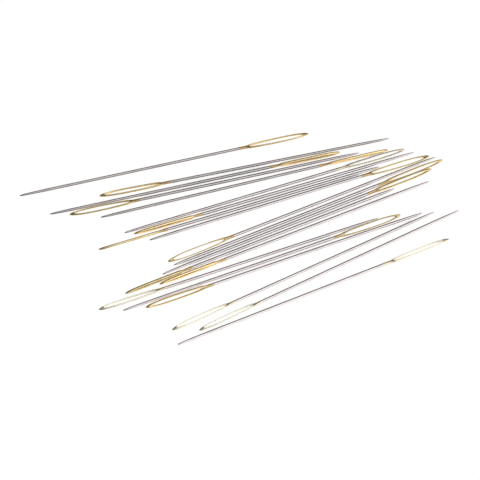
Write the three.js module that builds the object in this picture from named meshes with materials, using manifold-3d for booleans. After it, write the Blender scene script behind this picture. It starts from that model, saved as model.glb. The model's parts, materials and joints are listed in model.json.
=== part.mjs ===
// A loose set of twenty long-eyed embroidery needles, lying side by side in a slight fan on a table.
// Each needle is drawn steel wire with a tapered point. Its eye end is stamped flat, punched through and
// plated with gold. Millimetres, +Z up, X along the needles, the table at Z = 0.

import * as THREE from "three";
import { mergeVertices } from "three/addons/utils/BufferGeometryUtils.js";
import Module from "manifold-3d";

const wasm = await Module();
wasm.setup();

// Wire and point
const NEEDLE_LENGTH = 60;
const WIRE_DIAMETER = 0.65;
const POINT_LENGTH = 7.5;
const POINT_FULLNESS = 0.6; // power of the point's outline, where 1 is an oval and less is blunter
const WIRE_SIDES = 12;
const POINT_RINGS = 6;

// Eye, from its nose to the bare wire. Its outline and its hole are ovals, both widest at the same place.
const NOSE_LENGTH = 5.3; // from the end of the needle to the widest place
const NOSE_ROUNDING = 1.2; // stretch over which the nose comes to its full thickness
const NOSE_WALL = 1.25; // metal between the end of the needle and the hole
const HOLE_LENGTH = 11.3;
const HOLE_WIDTH = 0.85;
const RAIL_WIDTH = 0.25; // metal on each side of the hole
const EYE_THICKNESS = 0.5;
const EYE_SQUARENESS = 3.6; // section power of the stamped flat, where 2 is an ellipse
const NECK_WALL = 0.5; // metal between the hole and the round wire
const NECK_LENGTH = 2.25; // plated metal between the hole and the bare wire
const NOSE_RINGS = 6;
const NECK_RINGS = 5;
const HOLE_SEGMENTS = 5;

// Gutter pressed into both flats of the neck, which leads the thread out of the hole
const GUTTER_MARGIN = 0.4; // plain neck between the gutter and the bare wire
const GUTTER_DEPTH = 0.1;
const GUTTER_SIDES = 6;

// Least clear table between the outlines of any two needles, so that each can be picked straight up
const CLEARANCE = 0.15;
const LAY_STEP = 0.1; // how finely two outlines are compared along X
const MERGE_TOLERANCE = 1e-6;

const STEEL = { color: 0xa8a2a2, roughness: 0.28, metalness: 1 };
const GILT = { color: 0xc9a75c, roughness: 0.24, metalness: 1 };

// The lay from the back of the set to the front. shift is where the middle of a needle lies along X, turn
// is its heading on the table, roll tips the rear rail of its eye up, in degrees, and gap is the clear
// table between it and the needle behind it at the tightest place.
const LAY = [
  { eye: "right", shift: -6.3, turn: -6.55, roll: 0, gap: 0 },
  { eye: "left", shift: 8.2, turn: -7.75, roll: -6, gap: 3.5 },
  { eye: "right", shift: -2.5, turn: -7, roll: 104, gap: 0.65 },
  { eye: "left", shift: 1, turn: -6.75, roll: 3, gap: 0.15 },
  { eye: "right", shift: 6.6, turn: -5.55, roll: 112, gap: 0.48 },
  { eye: "right", shift: 9.6, turn: -1.35, roll: 80, gap: 0.4 },
  { eye: "left", shift: 11, turn: -1.2, roll: 104, gap: 0.45 },
  { eye: "left", shift: 3.1, turn: -1.05, roll: -52, gap: 0.2 },
  { eye: "right", shift: 13.5, turn: -0.9, roll: 14, gap: 0.2 },
  { eye: "left", shift: 14.6, turn: 4.75, roll: 32, gap: 0.15 },
  { eye: "right", shift: 15.5, turn: 4.35, roll: 77, gap: 0.2 },
  { eye: "right", shift: 12.5, turn: 4.35, roll: 81, gap: 0.35 },
  { eye: "left", shift: 3.7, turn: 4.8, roll: -72, gap: 0.3 },
  { eye: "left", shift: 10.8, turn: 4.3, roll: 104, gap: 0.2 },
  { eye: "left", shift: -2.4, turn: 0.6, roll: -9, gap: 0.35 },
  { eye: "right", shift: 2, turn: 1.5, roll: 53, gap: 0.33 },
  { eye: "left", shift: 6.2, turn: 1.8, roll: 74, gap: 0.2 },
  { eye: "left", shift: 8.7, turn: 7.75, roll: -5, gap: 0.62 },
  { eye: "left", shift: 13.5, turn: 8.4, roll: -10, gap: 1.4 },
  { eye: "right", shift: 8.6, turn: 4.25, roll: -10, gap: 0.55 },
];

const { clamp, degToRad, lerp } = THREE.MathUtils;
const EYE_WIDTH = HOLE_WIDTH + 2 * RAIL_WIDTH;

// Places along the needle, from its eye end
const HOLE_END = NOSE_WALL + HOLE_LENGTH;
const NECK_START = HOLE_END + NECK_WALL; // where the eye has drawn in to the round of the wire
const GILT_END = HOLE_END + NECK_LENGTH; // where the plating stops and the bare steel begins
const GUTTER_END = GILT_END - GUTTER_MARGIN;
const POINT_START = NEEDLE_LENGTH - POINT_LENGTH;

// Evenly spaced values from a to b, both included.
function spread(a, b, steps) {
  return Array.from({ length: steps + 1 }, (_, i) => lerp(a, b, i / steps));
}

// Height of a quarter oval of height 1 at a place along it, 0 where it is full and 1 at its end.
function quarterOval(along) {
  return Math.sqrt(1 - clamp(along, 0, 1) ** 2);
}

// Places from a, where a quarter oval is full, to b, its end, closer together towards its end.
function ovalSpread(a, b, steps) {
  return spread(0, Math.PI / 2, steps).map((angle) => lerp(a, b, Math.sin(angle)));
}

// Radius of the bare wire and its point at a distance s from the eye end.
function wireRadius(s) {
  return (WIRE_DIAMETER / 2) * quarterOval((s - POINT_START) / POINT_LENGTH) ** POINT_FULLNESS;
}

// The plated end at a distance s from the eye end: an oval with a flat section, then a neck of round wire.
function eyeSection(s) {
  const nose = quarterOval(1 - s / NOSE_LENGTH);
  const end = quarterOval(1 - s / NOSE_ROUNDING);
  const flat = quarterOval((s - NOSE_LENGTH) / (NECK_START - NOSE_LENGTH));
  return {
    halfWidth: (nose * lerp(WIRE_DIAMETER, EYE_WIDTH, flat)) / 2,
    halfThickness: (end * lerp(WIRE_DIAMETER, EYE_THICKNESS, flat)) / 2,
    power: lerp(2, EYE_SQUARENESS, flat),
  };
}

// A turned solid along X from a list of [distance, radius], with a side, not an edge, facing down.
function turned(profile, sides) {
  const points = profile.map(([along, radius]) => new THREE.Vector2(radius, along));
  const blank = new THREE.LatheGeometry(points, sides, Math.PI / sides);
  blank.rotateZ(-Math.PI / 2);
  blank.deleteAttribute("normal");
  blank.deleteAttribute("uv");
  return mergeVertices(blank, MERGE_TOLERANCE);
}

// A closed geometry as a solid that can be cut.
function solidOf(geometry) {
  const position = geometry.getAttribute("position");
  const triangles = [];
  for (let i = 0; i < geometry.index.count; i += 3) {
    const [a, b, c] = [0, 1, 2].map((k) => geometry.index.getX(i + k));
    if (a !== b && b !== c && c !== a) triangles.push(a, b, c);
  }
  const mesh = new wasm.Mesh({
    numProp: 3,
    vertProperties: new Float32Array(position.array),
    triVerts: new Uint32Array(triangles),
  });
  return new wasm.Manifold(mesh);
}

function geometryOf(solid) {
  const mesh = solid.getMesh();
  const geometry = new THREE.BufferGeometry();
  geometry.setAttribute("position", new THREE.BufferAttribute(mesh.vertProperties, 3));
  geometry.setIndex(new THREE.BufferAttribute(mesh.triVerts, 1));
  geometry.computeVertexNormals();
  return geometry;
}

// Bare steel from the edge of the plating to the tip of the point.
function shaftGeometry() {
  const rings = [GILT_END, ...ovalSpread(POINT_START, NEEDLE_LENGTH, POINT_RINGS).slice(0, -1)];
  const profile = rings.map((s) => [s, wireRadius(s)]);
  const shaft = turned([[GILT_END, 0], ...profile, [NEEDLE_LENGTH, 0]], WIRE_SIDES);
  shaft.computeVertexNormals();
  return shaft;
}

// The wire's end before punching: a round blank pressed to the stamped section at every ring.
function stampedBlank() {
  const nose = ovalSpread(NOSE_LENGTH, 0, NOSE_RINGS).reverse();
  const neck = ovalSpread(NOSE_LENGTH, NECK_START, NECK_RINGS);
  const rings = [...nose.slice(1), ...neck.slice(1), GILT_END];
  const profile = [[0, 0], ...rings.map((s) => [s, 1]), [GILT_END, 0]];
  const blank = turned(profile, WIRE_SIDES);
  const position = blank.getAttribute("position");
  for (let i = 0; i < position.count; i++) {
    const { halfWidth, halfThickness, power } = eyeSection(position.getX(i));
    const press = (value) => Math.sign(value) * Math.abs(value) ** (2 / power);
    position.setY(i, halfWidth * press(position.getY(i)));
    position.setZ(i, halfThickness * press(position.getZ(i)));
  }
  return blank;
}

// The thread hole, a long oval that is shorter towards the nose than towards the neck.
function holePunch() {
  const half = HOLE_WIDTH / 2;
  const hole = new THREE.Shape();
  hole.absellipse(NOSE_LENGTH, 0, NOSE_LENGTH - NOSE_WALL, half, Math.PI / 2, (3 * Math.PI) / 2);
  hole.absellipse(NOSE_LENGTH, 0, HOLE_END - NOSE_LENGTH, half, -Math.PI / 2, Math.PI / 2);
  const depth = EYE_THICKNESS + WIRE_DIAMETER;
  const punch = new THREE.ExtrudeGeometry(hole, {
    depth,
    bevelEnabled: false,
    curveSegments: HOLE_SEGMENTS,
  });
  punch.translate(0, 0, -depth / 2);
  punch.deleteAttribute("normal");
  punch.deleteAttribute("uv");
  return mergeVertices(punch, MERGE_TOLERANCE);
}

// A spindle laid on the flat of the neck, which presses the gutter.
function gutterPunch(side) {
  const middle = (HOLE_END + GUTTER_END) / 2;
  const profile = [
    [HOLE_END, 0],
    [middle, GUTTER_DEPTH],
    [GUTTER_END, 0],
  ];
  return turned(profile, GUTTER_SIDES).translate(0, 0, side * eyeSection(middle).halfThickness);
}

function eyeGeometry() {
  let eye = solidOf(stampedBlank()).subtract(solidOf(holePunch()));
  for (const side of [1, -1]) eye = eye.subtract(solidOf(gutterPunch(side)));
  return geometryOf(eye);
}

// Half of the table width that a needle covers at a distance s from its eye end.
function halfCover(s, roll) {
  if (s > GILT_END) return wireRadius(s);
  const { halfWidth, halfThickness } = eyeSection(s);
  return halfWidth * Math.abs(Math.cos(roll)) + halfThickness * Math.abs(Math.sin(roll));
}

// The middle line and half width of a needle's outline at X = x, or null beyond its ends.
function outlineAt(needle, x) {
  const along = (x - needle.shift) / Math.cos(needle.turn);
  const s = NEEDLE_LENGTH / 2 + (needle.eye === "left" ? along : -along);
  if (s < 0 || s > NEEDLE_LENGTH) return null;
  const half = halfCover(s, needle.roll) / Math.cos(needle.turn);
  return { line: (x - needle.shift) * Math.tan(needle.turn), half };
}

// How far forward a needle has to lie so that a gap is left between it and one behind it.
function inFrontOf(behind, needle, gap) {
  let y = Infinity;
  for (let x = needle.shift - NEEDLE_LENGTH; x < needle.shift + NEEDLE_LENGTH; x += LAY_STEP) {
    const [a, b] = [outlineAt(behind, x), outlineAt(needle, x)];
    if (a && b) y = Math.min(y, behind.y + a.line - a.half - gap - b.half - b.line);
  }
  return y;
}

// The needles of LAY in radians, each with the Y of its middle.
function laidOut() {
  const laid = [];
  for (const { eye, shift, turn, roll, gap } of LAY) {
    const needle = { eye, shift, turn: degToRad(turn), roll: degToRad(roll), y: 0 };
    const gaps = laid.map((_, i) => (i === laid.length - 1 ? gap : CLEARANCE));
    const limits = laid.map((behind, i) => inFrontOf(behind, needle, gaps[i]));
    if (limits.length) needle.y = Math.min(...limits);
    laid.push(needle);
  }
  return laid;
}

// How far each corner of a geometry lies below the axis when it is rolled, and where along X.
function drops(geometry, roll) {
  const position = geometry.getAttribute("position");
  return Array.from({ length: position.count }, (_, i) => ({
    along: position.getX(i),
    drop: -(position.getY(i) * Math.sin(roll) + position.getZ(i) * Math.cos(roll)),
  }));
}

// A rolled eye stands higher than the wire, so the needle slopes from its lower rail down to its point.
function restingSlope(eyeShape, shaftShape, roll) {
  const point = drops(shaftShape, roll).filter(({ along }) => along > NEEDLE_LENGTH / 2);
  const slopes = drops(eyeShape, roll).map((rail) =>
    Math.min(...point.map((end) => (rail.drop - end.drop) / (end.along - rail.along)))
  );
  return Math.atan(Math.max(0, ...slopes));
}

function makeNeedle(name, { eye, shift, y, turn, roll }, eyeShape, shaftShape) {
  const shaft = new THREE.Mesh(shaftShape, new THREE.MeshStandardMaterial(STEEL));
  shaft.name = name + "_shaft";
  const eyeEnd = new THREE.Mesh(eyeShape, new THREE.MeshStandardMaterial(GILT));
  eyeEnd.name = name + "_eye";

  const atMiddle = new THREE.Group();
  atMiddle.position.x = -NEEDLE_LENGTH / 2;
  atMiddle.add(shaft, eyeEnd);

  const ownRoll = eye === "left" ? roll : -roll;
  const slope = restingSlope(eyeShape, shaftShape, ownRoll);
  const needle = new THREE.Group();
  needle.rotation.set(ownRoll, slope, eye === "left" ? turn : turn + Math.PI, "ZYX");
  needle.position.set(shift, y, 0);
  needle.add(atMiddle);
  needle.updateMatrixWorld(true);
  needle.position.z = -new THREE.Box3().setFromObject(needle, true).min.z;
  return needle;
}

const eyeShape = eyeGeometry();
const shaftShape = shaftGeometry();
const set = new THREE.Group();
laidOut().forEach((needle, i) => {
  const name = "needle_" + String(i + 1).padStart(2, "0");
  set.add(makeNeedle(name, needle, eyeShape, shaftShape));
});

// The part's origin is on the table, under the middle of the set.
set.updateMatrixWorld(true);
const middle = new THREE.Box3().setFromObject(set, true).getCenter(new THREE.Vector3());
set.position.set(-middle.x, -middle.y, 0);

const part = new THREE.Group();
part.name = "embroidery_needles";
part.add(set);

export default part;
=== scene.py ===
"""Gold-eyed embroidery needles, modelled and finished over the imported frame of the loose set."""

import json
import math

import bmesh
import bpy
from bpy.props import FloatProperty, FloatVectorProperty, PointerProperty
from mathutils import Matrix, Vector

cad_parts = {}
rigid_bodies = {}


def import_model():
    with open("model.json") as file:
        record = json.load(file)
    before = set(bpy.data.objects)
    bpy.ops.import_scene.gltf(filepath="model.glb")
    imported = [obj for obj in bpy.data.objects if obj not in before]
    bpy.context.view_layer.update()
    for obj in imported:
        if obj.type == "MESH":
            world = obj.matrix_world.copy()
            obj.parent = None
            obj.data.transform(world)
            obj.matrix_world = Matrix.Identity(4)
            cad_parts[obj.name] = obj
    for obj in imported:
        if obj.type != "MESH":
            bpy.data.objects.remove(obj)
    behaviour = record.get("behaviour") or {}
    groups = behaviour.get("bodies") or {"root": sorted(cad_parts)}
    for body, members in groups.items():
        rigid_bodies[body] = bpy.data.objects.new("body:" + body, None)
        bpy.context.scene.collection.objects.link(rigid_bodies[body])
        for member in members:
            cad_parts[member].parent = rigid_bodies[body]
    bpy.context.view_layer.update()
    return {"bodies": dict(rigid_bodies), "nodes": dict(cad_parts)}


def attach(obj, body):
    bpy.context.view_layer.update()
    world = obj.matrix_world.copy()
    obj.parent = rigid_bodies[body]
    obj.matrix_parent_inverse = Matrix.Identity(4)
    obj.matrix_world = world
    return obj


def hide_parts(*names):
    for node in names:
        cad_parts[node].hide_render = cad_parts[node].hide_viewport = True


bl_info = {
    "name": "Embroidery Needles",
    "version": (1, 0, 0),
    "blender": (4, 5, 0),
    "location": "View3D > Sidebar > Needles",
    "description": "Adds gold-eyed embroidery needles over the frame of the loose set",
    "category": "Add Mesh",
}

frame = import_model()
NEEDLES = sorted(frame["bodies"])
MM = 0.001

# Tone of the gold on some of the needles, by number, from -1 for paler to 1 for darker: painted highlight
# below nought and painted shade above it
PAINTED_SHADE_AND_HIGHLIGHT = {
    1: 0.6, 2: 0.55, 4: 1.0, 6: -0.9, 8: 1.0, 9: 1.0, 10: 1.0, 11: 0.4, 12: 0.6, 13: 1.0, 15: -0.9,
    16: 1.0, 17: 0.4, 18: -0.9, 19: -1.0, 20: -0.85,
}

# Reading the frame
MERGE = 1e-7  # metres within which two corners are one
END_REACH = 1 * MM  # from the blunt end of a shaft, within which its corners are on the plating line
RAIL_SHARE = 0.95  # of an eye's half width, past which its corners are on the rails

# Fineness of the shapes
WIRE_SIDES = 24
POINT_RINGS = 14
NOSE_STEPS = 6
RAIL_STEPS = 6
ROUNDING = 2  # levels of subdivision on the eye

# The neck's sections and the end of its gutter, by share of the way from the hole to the plating line
NECK_SHARES = (0, 0.22, 0.45, 0.7, 0.9, 1)
GUTTER_END = 0.85

# The nose comes to its full thickness this many times faster than to its full width
NOSE_SWELL = 2

# A smooth surface is drawn inside its cage, so a cage is made larger by these factors
HEX_CAGE = 1.2
SQUARE_CAGE = 1.075
HEX_CORNER = math.pi / 6  # angle of the neck's outer corners from the flat of the eye

# The corners of a half section go round it from the lower inner one, so these two are the inner ones
INNER_CORNERS = {0, 1}

# Spans of noise over which a finish goes from one look to another
GRAIN_SPAN = (0.3, 0.75)
STEEL_PATCHES = (0.35, 0.7)
GOLD_PATCHES = (0.4, 0.75)
NEEDLE_SHIFT = 71.3  # millimetres from one needle's place in the noise to the next's

# Roughness of the two finishes, and depth of their relief
STEEL_ROUGHNESS = (0.14, 0.27)
GOLD_ROUGHNESS = (0.3, 0.4)
STEEL_RELIEF = 0.002 * MM
GOLD_RELIEF = 0.003 * MM

# Where the plating changes, in millimetres from the eye end
NOSE_TONE_END = (0.9, 1.9)
NOSE_RAGGED = 0.8  # by which the grain breaks up that edge
NECK_TONE_START = (11.8, 13.0)
WORN_START = (15.0, 15.4)

# Shares of its tones
NOSE_BRONZE = 0.7
NECK_BRONZE = 0.75
HIGHLIGHT_LACKS = 0.6  # of the bronze, which the needles with painted highlight go without
PATCH_PALENESS = 0.4

# Edges of the lights, in degrees of azimuth from straight in front round to the right
KEY_EDGE = (9.0, 15.0)
FILL_EDGE = (-12.0, 0.0)
SHADE_EDGE = (-130.0, -110.0)
SIDE_REAR = (-150.0, -125.0)
SIDE_FRONT = (-50.0, -30.0)

# Edges of the lights, in degrees of height over the table
WINDOW_RISE = (5.0, 25.0)
FILL_RISE = (2.0, 14.0)
HORIZON = (-2.0, 2.0)
SHADE_FOOT = (-61.0, -45.0)
SIDE_FOOT = (6.0, 16.0)
SIDE_HEAD = (38.0, 52.0)

# Edges of the lights, in degrees of tilt from straight in front over the top to the back
TOP_EDGE = (70.0, 94.0)
BACKDROP_EDGE = (148.0, 164.0)

# For a ramp that goes down
FALLING = (1.0, 0.0)

# The floor, which gets painted shade where metal within reach takes up much of the view to the front and
# the rear
FLOOR_RADIUS = 8
FLOOR_SIDES = 64
FLOOR_LIGHT = (1.02, 0.45)
GAP_REACH = 3 * MM
GAP_SAMPLES = 12
GAP_SEEN = (0.35, 0.45)
GAP_MIRRORED = (0.25, 0.36)

# The camera
SENSOR_WIDTH = 36  # millimetres
CLIP_START = 10 * MM
CLIP_END = 20


class NeedleSizes(bpy.types.PropertyGroup):
    """Sizes of one needle, measured along it from its eye end"""

    wire_diameter: FloatProperty(
        name="Wire", description="Diameter of the bare wire",
        default=0.65 * MM, unit="LENGTH", precision=5,
    )
    point_length: FloatProperty(
        name="Point", description="Length of the tapered point",
        default=7.5 * MM, unit="LENGTH", precision=5,
    )
    point_fullness: FloatProperty(
        name="Point fullness", description="Power of the point's outline, blunter when less",
        default=0.6,
    )
    nose_length: FloatProperty(
        name="Nose", description="From the end to the widest place",
        default=5.3 * MM, unit="LENGTH", precision=5,
    )
    nose_wall: FloatProperty(
        name="Nose wall", description="Metal between the end and the hole",
        default=1.25 * MM, unit="LENGTH", precision=5,
    )
    nose_thinning: FloatProperty(
        name="Nose thinning", description="Thickness left at the very end",
        default=0.55, subtype="FACTOR",
    )
    hole_length: FloatProperty(
        name="Hole length", description="Length of the thread hole",
        default=11.3 * MM, unit="LENGTH", precision=5,
    )
    hole_width: FloatProperty(
        name="Hole width", description="Width of the thread hole",
        default=0.85 * MM, unit="LENGTH", precision=5,
    )
    rail_width: FloatProperty(
        name="Rail", description="Metal on each side of the hole",
        default=0.25 * MM, unit="LENGTH", precision=5,
    )
    eye_thickness: FloatProperty(
        name="Eye thickness", description="Thickness of the stamped end",
        default=0.5 * MM, unit="LENGTH", precision=5,
    )
    neck_wall: FloatProperty(
        name="Neck wall", description="Metal between the hole and the wire",
        default=0.5 * MM, unit="LENGTH", precision=5,
    )
    gutter_depth: FloatProperty(
        name="Gutter", description="Depth of the thread gutter",
        default=0.12 * MM, unit="LENGTH", precision=5,
    )


class NeedleFinish(bpy.types.PropertyGroup):
    """Colours of the bare steel and the gold plating"""

    steel: FloatVectorProperty(
        name="Steel", description="Polished wire",
        default=(0.545, 0.503, 0.513), subtype="COLOR",
    )
    steel_shade: FloatVectorProperty(
        name="Steel shade", description="Duller patches of the wire",
        default=(0.485, 0.443, 0.453), subtype="COLOR",
    )
    gold: FloatVectorProperty(
        name="Gold", description="Sound plating",
        default=(0.90, 0.69, 0.37), subtype="COLOR",
    )
    # Paler gold for random patches, and painted highlight on the needles set below nought
    pale_gold: FloatVectorProperty(
        name="Pale gold", description="Thin plating",
        default=(0.725, 0.70, 0.62), subtype="COLOR",
    )
    # Painted shade: darker gold on the needles set above nought
    deep_gold: FloatVectorProperty(
        name="Deep gold", description="Thick plating",
        default=(0.555, 0.43, 0.21), subtype="COLOR",
    )
    bronze: FloatVectorProperty(
        name="Bronze", description="Toned plating at the nose and neck",
        default=(0.45, 0.31, 0.15), subtype="COLOR",
    )


class StageLook(bpy.types.PropertyGroup):
    """Floor, surroundings and camera"""

    floor_tone: FloatVectorProperty(
        name="Floor", description="Pale floor",
        default=(1.0, 1.0, 0.985), subtype="COLOR",
    )
    dim: FloatProperty(name="Dim", description="Light from everywhere else", default=0.22)
    bright: FloatProperty(name="Bright", description="Light from below and low on the right", default=1.62)
    window: FloatProperty(name="Window", description="Light from high on the right", default=1.95)
    fill: FloatProperty(name="Fill", description="Light from high in front", default=0.87)
    backdrop: FloatProperty(name="Backdrop", description="Light from low behind", default=0.8)
    side: FloatProperty(name="Side", description="Light from the left", default=1.0)
    azimuth: FloatProperty(
        name="Azimuth", description="Camera's turn round the set",
        default=math.radians(-22.4), subtype="ANGLE",
    )
    elevation: FloatProperty(
        name="Elevation", description="Camera's height over the table",
        default=math.radians(50), subtype="ANGLE",
    )
    lens: FloatProperty(name="Lens", description="Focal length in millimetres", default=450)
    distance: FloatProperty(
        name="Distance", description="Camera to the set",
        default=1.1901, unit="LENGTH",
    )
    shift_right: FloatProperty(
        name="Right", description="Camera's shift to the right",
        default=-2.84 * MM, unit="LENGTH", precision=5,
    )
    shift_up: FloatProperty(
        name="Up", description="Camera's shift upwards",
        default=-3.74 * MM, unit="LENGTH", precision=5,
    )


# Where each needle lies


def cad_corners(node):
    """Corners of a CAD node, each taken once, because its mesh is loose triangles."""
    bm = bmesh.new()
    bm.from_mesh(frame["nodes"][node].data)
    bmesh.ops.remove_doubles(bm, verts=bm.verts, dist=MERGE)
    found = [vert.co.copy() for vert in bm.verts]
    bm.free()
    return found


def mean(points):
    return sum(points, Vector()) / len(points)


def needle_lie(name):
    """How a needle lies: its length, its plated length, and the matrix from its own axes to the frame.

    On its own axes a needle runs along +X from its eye end, with the eye flat in XY.
    """
    shaft = cad_corners(name + "_shaft")
    eye = cad_corners(name + "_eye")
    eye_middle = mean(eye)
    tip = max(shaft, key=lambda corner: (corner - eye_middle).length)
    reach = max((corner - tip).length for corner in shaft)
    plating_line = mean([corner for corner in shaft if (corner - tip).length > reach - END_REACH])
    along = (tip - plating_line).normalized()
    plated = max((plating_line - corner).dot(along) for corner in eye)

    aside = [corner - plating_line for corner in eye]
    aside = [offset - along * offset.dot(along) for offset in aside]
    widest = max(aside, key=lambda offset: offset.length)
    rails = [offset for offset in aside if offset.length > RAIL_SHARE * widest.length]
    width = mean([offset if offset.dot(widest) > 0 else -offset for offset in rails]).normalized()

    lie = Matrix((along, width, along.cross(width))).transposed().to_4x4()
    lie.translation = plating_line - along * plated
    return (tip - plating_line).length + plated, plated, lie


# Shapes, on a needle's own axes


def shaft_shape(sizes, length, plated):
    """Bare wire from the plating line to the tip of its point, turned from its profile."""
    radius = sizes.wire_diameter / 2
    point_start = length - sizes.point_length
    profile = [(plated, 0), (plated, radius)]
    for ring in range(POINT_RINGS):
        angle = math.pi / 2 * ring / POINT_RINGS
        taper = math.cos(angle) ** sizes.point_fullness
        profile.append((point_start + math.sin(angle) * sizes.point_length, taper * radius))
    profile.append((length, 0))

    bm = bmesh.new()
    verts = [bm.verts.new((x, y, 0)) for x, y in profile]
    edges = [bm.edges.new(pair) for pair in zip(verts, verts[1:])]
    bmesh.ops.spin(
        bm, geom=verts + edges, axis=(1, 0, 0), cent=(0, 0, 0),
        angle=math.tau, steps=WIRE_SIDES, use_merge=True,
    )
    return bm


def half_section(inner, outer, inner_half, outer_half):
    """Four corners of half a section, from the places and half thicknesses of its two sides."""
    return [
        Vector((*inner, -inner_half)),
        Vector((*inner, inner_half)),
        Vector((*outer, outer_half)),
        Vector((*outer, -outer_half)),
    ]


def rail_section(inner, outer, inner_half, outer_half):
    """Section of a rail, with its cage grown so that the rounded rail has the stated size."""
    inner, outer = Vector(inner), Vector(outer)
    middle = (inner + outer) / 2
    grown = [middle + (side - middle) * SQUARE_CAGE for side in (inner, outer)]
    return half_section(*grown, inner_half * SQUARE_CAGE, outer_half * SQUARE_CAGE)


def smoothstep(share):
    share = min(1, max(0, share))
    return share * share * (3 - 2 * share)


def eye_sections(sizes, plated):
    """Half sections of the rails, from the nose round the hole to its end, and then of the neck."""
    half_hole = sizes.hole_width / 2
    half_width = half_hole + sizes.rail_width
    half_eye = sizes.eye_thickness / 2
    radius = sizes.wire_diameter / 2
    widest = sizes.nose_length
    hole_end = sizes.nose_wall + sizes.hole_length
    neck_start = hole_end + sizes.neck_wall

    def outline(s):
        """Half width and half thickness at s, past the widest place."""
        along = min(1, (s - widest) / (neck_start - widest))
        flat = math.sqrt(1 - along * along)
        return radius + flat * (half_width - radius), radius + flat * (half_eye - radius)

    rails = []
    for step in range(NOSE_STEPS + 1):
        angle = math.pi / 2 * step / NOSE_STEPS
        cos, sin = math.cos(angle), math.sin(angle)
        inner = (widest - cos * (widest - sizes.nose_wall), half_hole * sin)
        outer = (widest - cos * widest, half_width * sin)
        thinned = sizes.nose_thinning + (1 - sizes.nose_thinning) * min(1, NOSE_SWELL * sin)
        rails.append(rail_section(inner, outer, half_eye, half_eye * thinned))
    for step in range(1, RAIL_STEPS):
        angle = math.pi / 2 * step / RAIL_STEPS
        s = widest + math.sin(angle) * (hole_end - widest)
        wide, thick = outline(s)
        rails.append(rail_section((s, half_hole * math.cos(angle)), (s, wide), thick, thick))

    neck = []
    for share in NECK_SHARES:
        s = hole_end + share * (plated - hole_end)
        wide, thick = (half * HEX_CAGE for half in outline(s))
        gutter = sizes.gutter_depth * (1 - smoothstep(share / GUTTER_END))
        outer = (s, wide * math.cos(HEX_CORNER))
        neck.append(half_section((s, 0), outer, thick - gutter, thick * math.sin(HEX_CORNER)))
    return rails, neck


def draw_out(bm, edges, section, corner):
    """Extrudes a row of edges to the next half section, and returns the new row."""
    made = bmesh.ops.extrude_edge_only(bm, edges=edges)["geom"]
    verts = [item for item in made if isinstance(item, bmesh.types.BMVert)]
    for vert in verts:
        vert.co = section[vert[corner]]
    drawn = [item for item in made if isinstance(item, bmesh.types.BMEdge)]
    return [edge for edge in drawn if all(vert in verts for vert in edge.verts)]


def eye_shape(sizes, plated):
    """Plated end: half of it is drawn out section by section, mirrored, and closed at the plating line."""
    rails, neck = eye_sections(sizes, plated)
    bm = bmesh.new()
    corner = bm.verts.layers.int.new("corner")
    ring = [bm.verts.new(place) for place in rails[0]]
    for number, vert in enumerate(ring):
        vert[corner] = number
    edges = [bm.edges.new((vert, ring[number - 1])) for number, vert in enumerate(ring)]
    for section in [*rails[1:], neck[0]]:
        edges = draw_out(bm, edges, section, corner)

    # The hole ends here, so the side that faced it is not drawn on
    edges = [edge for edge in edges if {vert[corner] for vert in edge.verts} != INNER_CORNERS]
    for section in neck[1:]:
        edges = draw_out(bm, edges, section, corner)

    everything = [*bm.verts, *bm.edges, *bm.faces]
    bmesh.ops.mirror(bm, geom=everything, axis="Y", merge_dist=MERGE)
    bmesh.ops.remove_doubles(bm, verts=bm.verts, dist=MERGE)
    crease = bm.edges.layers.float.new("crease_edge")
    plating_line = [edge for edge in bm.edges if edge.is_boundary]
    for edge in plating_line:
        edge[crease] = 1
    bmesh.ops.contextual_create(bm, geom=plating_line)
    return bm


def finished_mesh(bm, name, plated):
    """Mesh of a closed shape, smooth but for its cut at the plating line.

    Each corner keeps its own place on the needle, in millimetres, for the finishes.
    """
    bmesh.ops.remove_doubles(bm, verts=bm.verts, dist=MERGE)
    bmesh.ops.recalc_face_normals(bm, faces=bm.faces)
    place = bm.verts.layers.float_vector.new("own_place")
    for vert in bm.verts:
        vert[place] = vert.co / MM
    for face in bm.faces:
        face.smooth = abs(face.calc_center_median().x - plated) > MERGE
    for edge in bm.edges:
        edge.smooth = all(face.smooth for face in edge.link_faces)
    mesh = bpy.data.meshes.new(name)
    bm.to_mesh(mesh)
    bm.free()
    return mesh


def keep_number(mesh, name, number):
    """Keeps one number all over a mesh for its finish."""
    values = mesh.attributes.new(name, "FLOAT", "POINT").data
    values.foreach_set("value", [number] * len(mesh.vertices))


def add_object(name, data):
    """Object in the scene from a mesh or a camera."""
    added = bpy.data.objects.new(name, data)
    bpy.context.scene.collection.objects.link(added)
    return added


def add_piece(mesh, name, number, lie, material):
    """Object of a shape laid where a needle lies, with the needle's number kept for its finish."""
    mesh.transform(lie)
    keep_number(mesh, "needle", number)
    mesh.materials.append(material)
    return add_object(name, mesh)


# Finishes


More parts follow.
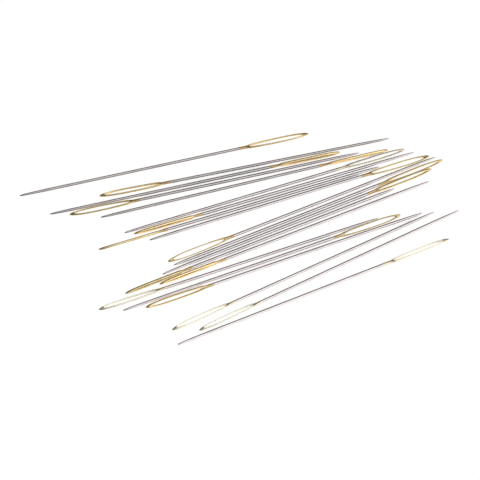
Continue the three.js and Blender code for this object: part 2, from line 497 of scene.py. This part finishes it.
class Finish:
    """A node tree, with short calls to add nodes and join them."""

    def __init__(self, tree):
        self.tree = tree
        tree.nodes.clear()

    def add(self, kind, settings=None, **inputs):
        """Adds a node, sets it up, and sets or links its inputs by name, with spaces as underscores."""
        node = self.tree.nodes.new(kind)
        for key, value in (settings or {}).items():
            setattr(node, key, value)
        for key, value in inputs.items():
            self.put(node, key.replace("_", " "), value)
        return node

    def put(self, node, socket, value):
        """Sets or links one input, by its name or its number."""
        target = node.inputs[int(socket)] if socket.isdigit() else node.inputs[socket]
        if isinstance(value, bpy.types.NodeSocket):
            self.tree.links.new(value, target)
        else:
            target.default_value = value

    def attribute(self, name, output):
        return self.add("ShaderNodeAttribute", {"attribute_name": name}).outputs[output]

    def math(self, operation, *values):
        node = self.add("ShaderNodeMath", {"operation": operation})
        for number, value in enumerate(values):
            self.put(node, str(number), value)
        return node.outputs[0]

    def product(self, first, *others):
        for value in others:
            first = self.math("MULTIPLY", first, value)
        return first

    def ramp(self, value, span, to=(0.0, 1.0)):
        """Eases from one number to the other as a value goes over a span."""
        node = self.add(
            "ShaderNodeMapRange",
            {"interpolation_type": "SMOOTHSTEP"},
            Value=value, From_Min=span[0], From_Max=span[1], To_Min=to[0], To_Max=to[1],
        )
        return node.outputs["Result"]

    def mix(self, share, first, second):
        node = self.add("ShaderNodeMix", {"data_type": "RGBA"})
        for socket, value in ((0, share), (6, first), (7, second)):
            self.put(node, str(socket), value)
        return node.outputs[2]

    def crowding(self, towards):
        """Share of the view towards a side that metal within reach takes up."""
        side = self.add("ShaderNodeCombineXYZ", None, X=towards[0], Y=towards[1], Z=towards[2])
        node = self.add("ShaderNodeAmbientOcclusion", {"samples": GAP_SAMPLES}, Distance=GAP_REACH)
        self.put(node, "Normal", side.outputs[0])
        return self.math("SUBTRACT", 1.0, node.outputs["AO"])

    def noise(self, vector, waves, stretch=(1, 1, 1), detail=2.0):
        """Noise by place on the needle, in waves per millimetre."""
        drawn = self.add("ShaderNodeVectorMath", {"operation": "MULTIPLY"})
        self.put(drawn, "0", vector)
        self.put(drawn, "1", stretch)
        node = self.add("ShaderNodeTexNoise", None, Vector=drawn.outputs[0], Scale=waves, Detail=detail)
        return node.outputs[0]


def new_finish(name):
    """New material, and its empty node tree."""
    material = bpy.data.materials.new(name)
    material.use_nodes = True
    return material, Finish(material.node_tree)


def colour(value):
    return (*value, 1)


def own_place(finish):
    """Place on the needle in millimetres, and the same moved on so that no two needles look alike."""
    place = finish.attribute("own_place", "Vector")
    shift = finish.math("MULTIPLY", finish.attribute("needle", "Fac"), NEEDLE_SHIFT)
    moved = finish.add("ShaderNodeVectorMath", {"operation": "ADD"})
    finish.put(moved, "0", place)
    finish.put(moved, "1", finish.add("ShaderNodeCombineXYZ", None, X=shift).outputs[0])
    return place, moved.outputs[0]


def metal(finish, base, roughness, height, depth):
    """Ends a material's node tree in bare metal with a fine relief."""
    shader = finish.add("ShaderNodeBsdfPrincipled", None, Base_Color=base, Metallic=1.0)
    finish.put(shader, "Roughness", roughness)
    bump = finish.add("ShaderNodeBump", None, Height=height, Strength=1.0, Distance=depth)
    finish.put(shader, "Normal", bump.outputs[0])
    output = finish.add("ShaderNodeOutputMaterial")
    finish.put(output, "Surface", shader.outputs[0])


def polished_steel(look):
    """Drawn and polished wire: fine lines along it, and slow changes of tone."""
    material, finish = new_finish("polished_steel")
    _, place = own_place(finish)
    lines = finish.noise(place, waves=1.0, stretch=(0.07, 11, 11), detail=4.0)
    patches = finish.noise(place, waves=0.22)
    base = finish.mix(finish.ramp(patches, STEEL_PATCHES), colour(look.steel), colour(look.steel_shade))
    roughness = finish.ramp(lines, GRAIN_SPAN, STEEL_ROUGHNESS)
    metal(finish, base, roughness, lines, STEEL_RELIEF)
    return material


def gold_plating(look):
    """Gold plating: darker gold as painted shade and paler gold as painted highlight on some needles,
    paler in random patches, darker brown at the nose and neck, and worn to steel at the wire.
    """
    material, finish = new_finish("gold_plating")
    own, place = own_place(finish)
    along = finish.add("ShaderNodeSeparateXYZ", None, Vector=own).outputs[0]
    patches = finish.noise(place, waves=0.5)
    grain = finish.noise(place, waves=3.0, stretch=(0.5, 2, 2), detail=4.0)

    # Painted shade above nought and painted highlight below it, set by needle
    plating = finish.attribute("plating", "Fac")
    painted_shade = finish.math("MAXIMUM", plating, 0.0)
    painted_highlight = finish.math("MAXIMUM", finish.math("MULTIPLY", plating, -1.0), 0.0)
    pale = finish.math("MAXIMUM", painted_highlight, finish.ramp(patches, GOLD_PATCHES, (0.0, PATCH_PALENESS)))

    ragged = finish.math("ADD", along, finish.math("MULTIPLY", grain, NOSE_RAGGED))
    nose = finish.ramp(ragged, NOSE_TONE_END, (NOSE_BRONZE, 0.0))
    neck = finish.ramp(along, NECK_TONE_START, (0.0, NECK_BRONZE))
    bronze_kept = finish.math("SUBTRACT", 1.0, finish.math("MULTIPLY", painted_highlight, HIGHLIGHT_LACKS))
    toned = finish.math("MULTIPLY", bronze_kept, finish.math("MAXIMUM", nose, neck))
    worn = finish.ramp(finish.math("ADD", along, grain), WORN_START)

    base = colour(look.gold)
    layers = ((painted_shade, look.deep_gold), (pale, look.pale_gold), (toned, look.bronze), (worn, look.steel))
    for share, tone in layers:
        base = finish.mix(share, base, colour(tone))
    roughness = finish.ramp(grain, GRAIN_SPAN, GOLD_ROUGHNESS)
    metal(finish, base, roughness, grain, GOLD_RELIEF)
    return material


# Stage


def surroundings(look):
    """Soft light from the right and front, below, low behind and a band at the left, and dim elsewhere."""
    world = bpy.data.worlds.new("surroundings")
    world.use_nodes = True
    bpy.context.scene.world = world
    finish = Finish(world.node_tree)
    towards = finish.add("ShaderNodeTexCoord").outputs["Generated"]
    x, y, z = finish.add("ShaderNodeSeparateXYZ", None, Vector=towards).outputs
    ahead = finish.math("MULTIPLY", y, -1.0)
    azimuth = finish.math("DEGREES", finish.math("ARCTAN2", x, ahead))
    height = finish.math("DEGREES", finish.math("ARCSINE", z))
    tilt = finish.math("DEGREES", finish.math("ARCTAN2", z, ahead))

    to_right = finish.ramp(azimuth, KEY_EDGE)
    under_top = finish.ramp(tilt, TOP_EDGE, FALLING)
    key = finish.product(to_right, under_top, finish.ramp(height, WINDOW_RISE, (look.bright, look.window)))

    in_front = finish.ramp(azimuth, FILL_EDGE)
    fill = finish.product(in_front, under_top, finish.ramp(height, FILL_RISE, (0.0, look.fill)))

    # From the left rear round to the key light, the light from below comes only from far down
    to_left = finish.product(finish.ramp(azimuth, SHADE_EDGE), finish.math("SUBTRACT", 1.0, to_right))
    shade = finish.product(to_left, finish.ramp(height, SHADE_FOOT))
    below = finish.ramp(height, HORIZON, (look.bright, 0.0))
    below = finish.product(below, finish.math("SUBTRACT", 1.0, shade))
    behind = finish.ramp(tilt, BACKDROP_EDGE, (0.0, look.backdrop))

    beside = finish.product(finish.ramp(azimuth, SIDE_REAR), finish.ramp(azimuth, SIDE_FRONT, FALLING))
    band = finish.product(finish.ramp(height, SIDE_FOOT), finish.ramp(height, SIDE_HEAD, FALLING))
    side = finish.product(beside, band, look.side)

    strength = look.dim
    for light in (key, fill, below, behind, side):
        strength = finish.math("MAXIMUM", strength, light)
    seen = finish.add("ShaderNodeLightPath").outputs["Is Camera Ray"]
    strength = finish.math("MAXIMUM", strength, seen)
    background = finish.add("ShaderNodeBackground", None, Strength=strength)
    finish.put(background, "Color", colour(look.floor_tone))
    output = finish.add("ShaderNodeOutputWorld")
    finish.put(output, "Surface", background.outputs[0])


def lit_sheet(look):
    """White sheet that glows, as if a light were beneath it, with painted shade only in the narrow gaps
    between needles.

    In reflections it is black in those gaps, a painted shade, and clear elsewhere, so that the
    surroundings show through it.
    """
    material, finish = new_finish("pale_floor")
    front, rear = (finish.crowding((0, side, 0)) for side in (-1, 1))
    crowded = finish.math("MINIMUM", front, rear)
    seen = finish.add("ShaderNodeLightPath").outputs["Is Camera Ray"]
    # Painted shade: the glow seen by the camera drops in the narrow gaps
    glow_with_painted_shade = finish.product(seen, finish.ramp(crowded, GAP_SEEN, FLOOR_LIGHT))
    sheet = finish.add("ShaderNodeEmission", None, Color=colour(look.floor_tone), Strength=glow_with_painted_shade)
    clear = finish.add("ShaderNodeBsdfTransparent")
    # Painted shade in reflections: black in the same gaps
    mirrored = finish.ramp(crowded, GAP_MIRRORED)
    surface = finish.add("ShaderNodeMixShader", None, Fac=finish.math("MAXIMUM", seen, mirrored))
    finish.put(surface, "1", clear.outputs[0])
    finish.put(surface, "2", sheet.outputs[0])
    output = finish.add("ShaderNodeOutputMaterial")
    finish.put(output, "Surface", surface.outputs[0])
    return material


def pale_floor(look):
    """Round floor under the set, far wider than it."""
    bm = bmesh.new()
    bmesh.ops.create_circle(bm, cap_ends=True, segments=FLOOR_SIDES, radius=FLOOR_RADIUS)
    mesh = bpy.data.meshes.new("floor")
    bm.to_mesh(mesh)
    bm.free()
    mesh.materials.append(lit_sheet(look))
    floor = add_object("floor", mesh)
    floor.visible_shadow = False  # so that it does not count as crowding itself


def photo_camera(look):
    """Camera on the line of sight of the photograph."""
    turn, rise = look.azimuth, look.elevation
    right = Vector((math.cos(turn), math.sin(turn), 0))
    back = Vector((math.sin(turn) * math.cos(rise), -math.cos(turn) * math.cos(rise), math.sin(rise)))
    up = back.cross(right)
    data = bpy.data.cameras.new("camera")
    data.sensor_width = SENSOR_WIDTH
    data.lens = look.lens
    data.clip_start = CLIP_START
    data.clip_end = CLIP_END
    camera = add_object("camera", data)
    camera.matrix_world = Matrix((right, up, back)).transposed().to_4x4()
    camera.location = back * look.distance + right * look.shift_right + up * look.shift_up
    bpy.context.scene.camera = camera


# Operators


class NEEDLES_OT_shafts(bpy.types.Operator):
    """Add the bare steel shafts with their tapered points"""

    bl_idname = "needles.shafts"
    bl_label = "Steel Shafts"

    def execute(self, context):
        sizes, look = context.scene.needle_sizes, context.scene.needle_finish
        steel = polished_steel(look)
        for number, name in enumerate(NEEDLES, 1):
            length, plated, lie = needle_lie(name)
            mesh = finished_mesh(shaft_shape(sizes, length, plated), "shaft", plated)
            shaft = add_piece(mesh, "shaft_%02d" % number, number, lie, steel)
            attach(shaft, name)
            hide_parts(name + "_shaft")
        return {"FINISHED"}


class NEEDLES_OT_eyes(bpy.types.Operator):
    """Add the stamped, punched and gold-plated eye ends"""

    bl_idname = "needles.eyes"
    bl_label = "Gold Eyes"

    def execute(self, context):
        sizes, look = context.scene.needle_sizes, context.scene.needle_finish
        gold = gold_plating(look)
        for number, name in enumerate(NEEDLES, 1):
            _, plated, lie = needle_lie(name)
            mesh = finished_mesh(eye_shape(sizes, plated), "eye", plated)
            # Each eye keeps its tone of painted shade and highlight
            keep_number(mesh, "plating", PAINTED_SHADE_AND_HIGHLIGHT.get(number, 0))
            eye = add_piece(mesh, "eye_%02d" % number, number, lie, gold)
            rounding = eye.modifiers.new("rounding", "SUBSURF")
            rounding.levels = rounding.render_levels = ROUNDING
            eye.visible_shadow = False  # so that only the wires bring painted shade to the floor
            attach(eye, name)
            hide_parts(name + "_eye")
        return {"FINISHED"}


class NEEDLES_OT_stage(bpy.types.Operator):
    """Add the pale floor, the soft surroundings and the camera"""

    bl_idname = "needles.stage"
    bl_label = "Stage"

    def execute(self, context):
        look = context.scene.needle_stage
        context.scene.view_settings.view_transform = "Standard"
        surroundings(look)
        pale_floor(look)
        photo_camera(look)
        return {"FINISHED"}


class NEEDLES_PT_panel(bpy.types.Panel):
    """Sizes, finishes and operators of the needles"""

    bl_idname = "NEEDLES_PT_panel"
    bl_label = "Embroidery Needles"
    bl_space_type = "VIEW_3D"
    bl_region_type = "UI"
    bl_category = "Needles"

    def draw(self, context):
        layout = self.layout
        for group in (context.scene.needle_sizes, context.scene.needle_finish, context.scene.needle_stage):
            column = layout.column(align=True)
            for key in group.__annotations__:
                column.prop(group, key)
        for operator in (NEEDLES_OT_shafts, NEEDLES_OT_eyes, NEEDLES_OT_stage):
            layout.operator(operator.bl_idname)


CLASSES = (
    NeedleSizes,
    NeedleFinish,
    StageLook,
    NEEDLES_OT_shafts,
    NEEDLES_OT_eyes,
    NEEDLES_OT_stage,
    NEEDLES_PT_panel,
)


def register():
    for cls in CLASSES:
        bpy.utils.register_class(cls)
    bpy.types.Scene.needle_sizes = PointerProperty(type=NeedleSizes)
    bpy.types.Scene.needle_finish = PointerProperty(type=NeedleFinish)
    bpy.types.Scene.needle_stage = PointerProperty(type=StageLook)


def unregister():
    del bpy.types.Scene.needle_stage
    del bpy.types.Scene.needle_finish
    del bpy.types.Scene.needle_sizes
    for cls in reversed(CLASSES):
        bpy.utils.unregister_class(cls)


def main():
    register()
    bpy.ops.needles.stage()
    bpy.ops.needles.shafts()
    bpy.ops.needles.eyes()


if __name__ == "__main__":
    main()
